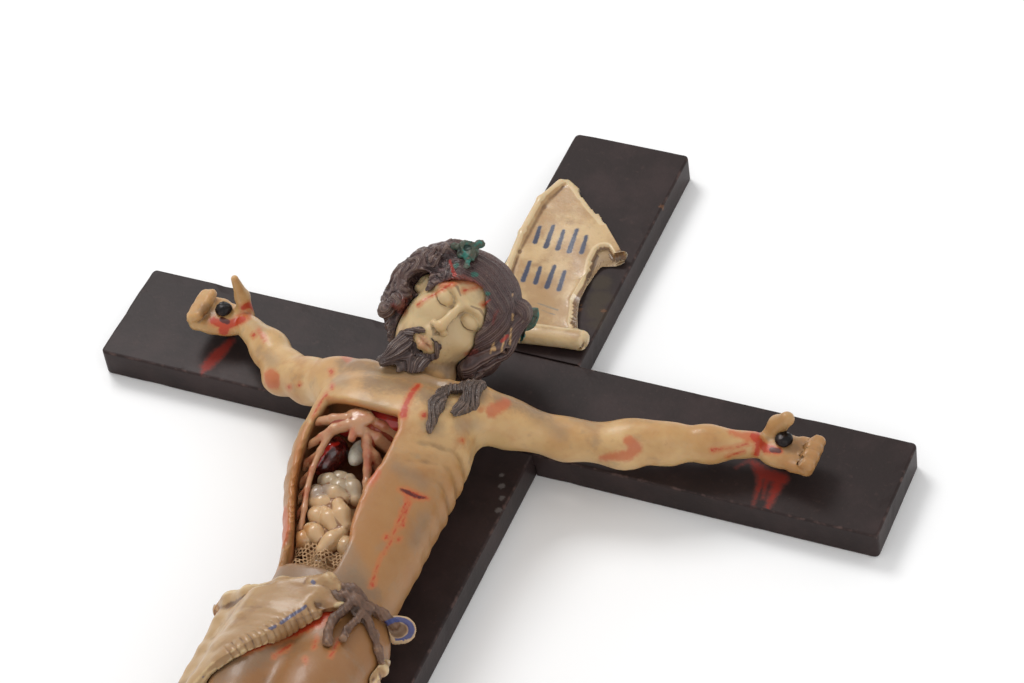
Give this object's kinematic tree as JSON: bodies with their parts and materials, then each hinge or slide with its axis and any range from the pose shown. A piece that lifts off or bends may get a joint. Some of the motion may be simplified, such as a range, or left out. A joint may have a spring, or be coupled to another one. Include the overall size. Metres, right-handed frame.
{
  "type": "crucifix corpus figure",
  "caption": "Small anatomical wax figure with an open abdomen, nailed to a flat half-lapped wooden cross with a curling scroll above the head.",
  "frame": {"origin": "on the back face of the upright, behind the middle of the crossbeam", "axes": "+Y along the upright towards the head, +X along the crossbeam to the right as seen from the front, +Z out of the front; the cross lies on its back"},
  "size_m": [0.24, 0.3625, 0.0579],
  "materials": {
    "ebonised_wood": "satin, worn at the edges",
    "pale_wax": "polished beeswax with painted bruises and blood",
    "dark_wax": "dark purplish-brown wax",
    "green_wax": "green painted wax",
    "rosy_wax": "rosy wax, glossy",
    "red_wax": "red wax, glossy",
    "heart_wax": "dark red wax, glossy",
    "grey_wax": "pale grey wax",
    "bowel_wax": "cream and grey wax",
    "tulle": "stiffened net soaked in wax",
    "cloth_wax": "cream wax with a painted blue border",
    "knot_wax": "grey-brown waxed cloth",
    "scroll_wax": "cream wax with painted strokes",
    "iron": "blackened"
  },
  "bodies": {
    "root": {"upright": "ebonised_wood", "crossbeam": "ebonised_wood", "scroll": "scroll_wax", "corpus": "pale_wax", "hair": "dark_wax", "beard": "dark_wax", "chest_locks": "dark_wax", "crown_fragment_top": "green_wax", "crown_fragment_side": "green_wax", "rib_cage": "rosy_wax", "lung_lining": "red_wax", "heart": "heart_wax", "stomach": "grey_wax", "bowels": "bowel_wax", "net": "tulle", "loincloth": "cloth_wax", "cloth_knot": "knot_wax", "nail_left_hand": "iron", "nail_right_hand": "iron", "nail_feet": "iron"}
  },
  "joints": []
}
